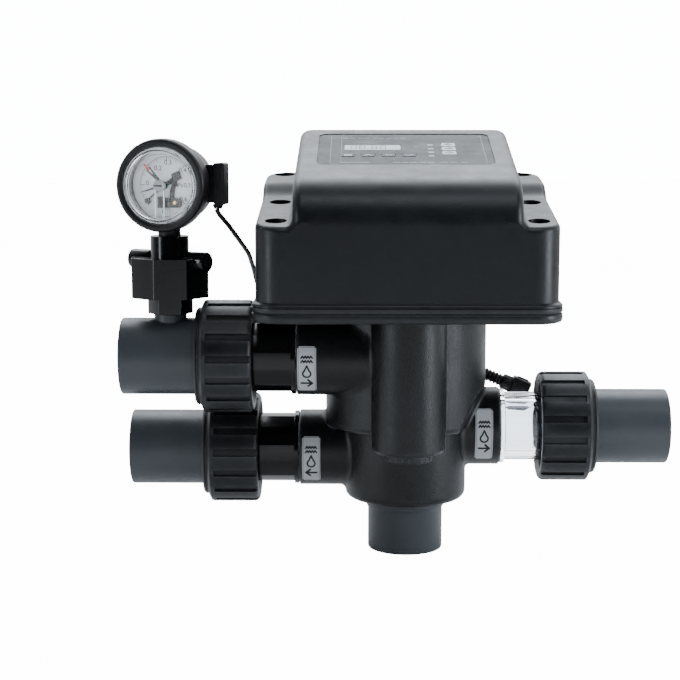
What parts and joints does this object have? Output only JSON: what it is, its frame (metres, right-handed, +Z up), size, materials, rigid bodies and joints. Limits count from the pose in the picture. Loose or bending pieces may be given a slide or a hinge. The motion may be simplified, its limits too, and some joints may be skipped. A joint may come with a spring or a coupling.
{
  "type": "automatic multiport valve",
  "caption": "Motor-driven ceramic-disc multiport filter valve with pipe unions, a sight tube, a sloping control head and a contact pressure gauge.",
  "frame": {"origin": "centre of the lower end of the grey riser socket", "axes": "+Z up the valve's axis from the riser socket to the head, -Y towards the front of the display, +X towards the drain union and its sight tube"},
  "size_m": [0.4488, 0.223, 0.3466],
  "materials": {
    "body_black": "fine-grained satin moulding",
    "head_black": "satin moulding",
    "nut_black": "satin moulding, scuffed grips",
    "gloss_black": "polished moulding",
    "grey_pvc": "semi-satin PVC",
    "clear_tube": "clear polycarbonate",
    "gauge_glass": "clear acrylic",
    "seal_rubber": "matt EPDM",
    "ceramic": "lapped ceramic",
    "white_acetal": "moulded acetal",
    "nylon_dark": "glass-filled nylon",
    "steel": "stainless",
    "bracket_metal": "mill finish",
    "magnet": "nickel plate",
    "brass": "machined",
    "board_green": "solder mask",
    "switch_black": "moulded",
    "panel_grey": "printed film",
    "lcd_grey": "screen under clear film",
    "lamp_white": "translucent light window",
    "key_grey": "matt silicone",
    "label_silver": "brushed film sticker",
    "gauge_black": "moulded rubber shell",
    "dial_white": "enamel",
    "contact_black": "phenolic moulding",
    "pointer_black": "matt enamel",
    "pointer_green": "enamel",
    "pointer_red": "enamel",
    "knob_silver": "turned and plated",
    "lead_black": "sleeved cable",
    "plug_black": "moulded connector"
  },
  "bodies": {
    "root": {"valve_body": "body_black", "column_plug": "body_black", "head_cover": "head_black", "head_tray": "head_black", "inlet_adaptor": "gloss_black", "outlet_adaptor": "gloss_black", "isolator_base": "gloss_black", "isolator_cap": "gloss_black", "riser_socket": "grey_pvc", "inlet_tail": "grey_pvc", "outlet_tail": "grey_pvc", "drain_tail": "grey_pvc", "sight_tube": "clear_tube", "gauge_window": "gauge_glass", "riser_seal": "seal_rubber", "bonnet_seal": "seal_rubber", "shaft_seal": "seal_rubber", "disc_gasket": "seal_rubber", "head_gasket": "seal_rubber", "union_seals": "seal_rubber", "isolator_diaphragm": "seal_rubber", "fixed_disc": "ceramic", "thrust_washer": "white_acetal", "bonnet_nut": "nylon_dark", "motor_screws": "steel", "cover_screws": "steel", "gearmotor": "steel", "motor_bracket": "bracket_metal", "gauge_movement": "brass", "position_board": "board_green", "control_board": "board_green", "key_switches": "switch_black", "display_panel": "panel_grey", "lcd_module": "lcd_grey", "status_lamps": "lamp_white", "port_labels": "label_silver", "gauge_case": "gauge_black", "gauge_dial": "dial_white", "contact_carrier": "contact_black", "signal_lead": "lead_black", "pigtail_lead": "lead_black", "pigtail_connector": "plug_black"},
    "rotor": {"rotor": "white_acetal", "moving_disc": "ceramic", "drive_gear": "white_acetal", "gear_screw": "steel", "position_magnets": "magnet"},
    "pinion": {"drive_pinion": "brass"},
    "inlet_nut": {"inlet_nut": "nut_black"},
    "outlet_nut": {"outlet_nut": "nut_black"},
    "drain_nut": {"drain_nut": "nut_black"},
    "isolator_nut": {"isolator_nut": "gloss_black"},
    "pressure_pointer": {"pressure_pointer": "pointer_black"},
    "low_set_pointer": {"low_set_pointer": "pointer_green"},
    "high_set_pointer": {"high_set_pointer": "pointer_red"},
    "set_knob": {"set_knob": "knob_silver"},
    "key_menu": {"key_menu": "key_grey"},
    "key_up": {"key_up": "key_grey"},
    "key_down": {"key_down": "key_grey"},
    "key_set": {"key_set": "key_grey"}
  },
  "joints": [
    {"name": "rotor_turn", "type": "hinge", "parent": "root", "child": "rotor", "pos_m": [0, 0, 0.2], "axis": [0, 0, 1], "continuous": true},
    {"name": "pinion_spin", "type": "hinge", "parent": "root", "child": "pinion", "pos_m": [0.05161, -0.03614, 0.237], "axis": [0, 0, 1], "continuous": true},
    {"name": "inlet_nut_turn", "type": "hinge", "parent": "root", "child": "inlet_nut", "pos_m": [-0.14, -0.032, 0.166], "axis": [1, 0, 0], "continuous": true},
    {"name": "outlet_nut_turn", "type": "hinge", "parent": "root", "child": "outlet_nut", "pos_m": [-0.14, 0.01, 0.0826], "axis": [1, 0, 0], "continuous": true},
    {"name": "drain_nut_turn", "type": "hinge", "parent": "root", "child": "drain_nut", "pos_m": [0.13, 0.0124, 0.1008], "axis": [1, 0, 0], "continuous": true},
    {"name": "isolator_nut_turn", "type": "hinge", "parent": "root", "child": "isolator_nut", "pos_m": [-0.1905, -0.032, 0.23], "axis": [0, 0, 1], "continuous": true},
    {"name": "pressure_turn", "type": "hinge", "parent": "root", "child": "pressure_pointer", "pos_m": [-0.1905, -0.032, 0.304], "axis": [0.225, 0.9744, 0], "range_deg": [-29, 241]},
    {"name": "low_set_turn", "type": "hinge", "parent": "root", "child": "low_set_pointer", "pos_m": [-0.1905, -0.032, 0.304], "axis": [0.225, 0.9744, 0], "range_deg": [0, 313]},
    {"name": "high_set_turn", "type": "hinge", "parent": "root", "child": "high_set_pointer", "pos_m": [-0.1905, -0.032, 0.304], "axis": [0.225, 0.9744, 0], "range_deg": [-91, 179]},
    {"name": "set_knob_turn", "type": "hinge", "parent": "root", "child": "set_knob", "pos_m": [-0.1905, -0.032, 0.304], "axis": [0.225, 0.9744, 0], "continuous": true},
    {"name": "key_menu_press", "type": "slide", "parent": "root", "child": "key_menu", "axis": [0, 0.2326, -0.9726], "range_m": [0, 0.0006], "stiffness_N_per_m": 400},
    {"name": "key_up_press", "type": "slide", "parent": "root", "child": "key_up", "axis": [0, 0.2326, -0.9726], "range_m": [0, 0.0006], "stiffness_N_per_m": 400},
    {"name": "key_down_press", "type": "slide", "parent": "root", "child": "key_down", "axis": [0, 0.2326, -0.9726], "range_m": [0, 0.0006], "stiffness_N_per_m": 400},
    {"name": "key_set_press", "type": "slide", "parent": "root", "child": "key_set", "axis": [0, 0.2326, -0.9726], "range_m": [0, 0.0006], "stiffness_N_per_m": 400}
  ],
  "couplings": [
    {"joint": "pinion_spin", "follows": "rotor_turn", "ratio": -6}
  ]
}
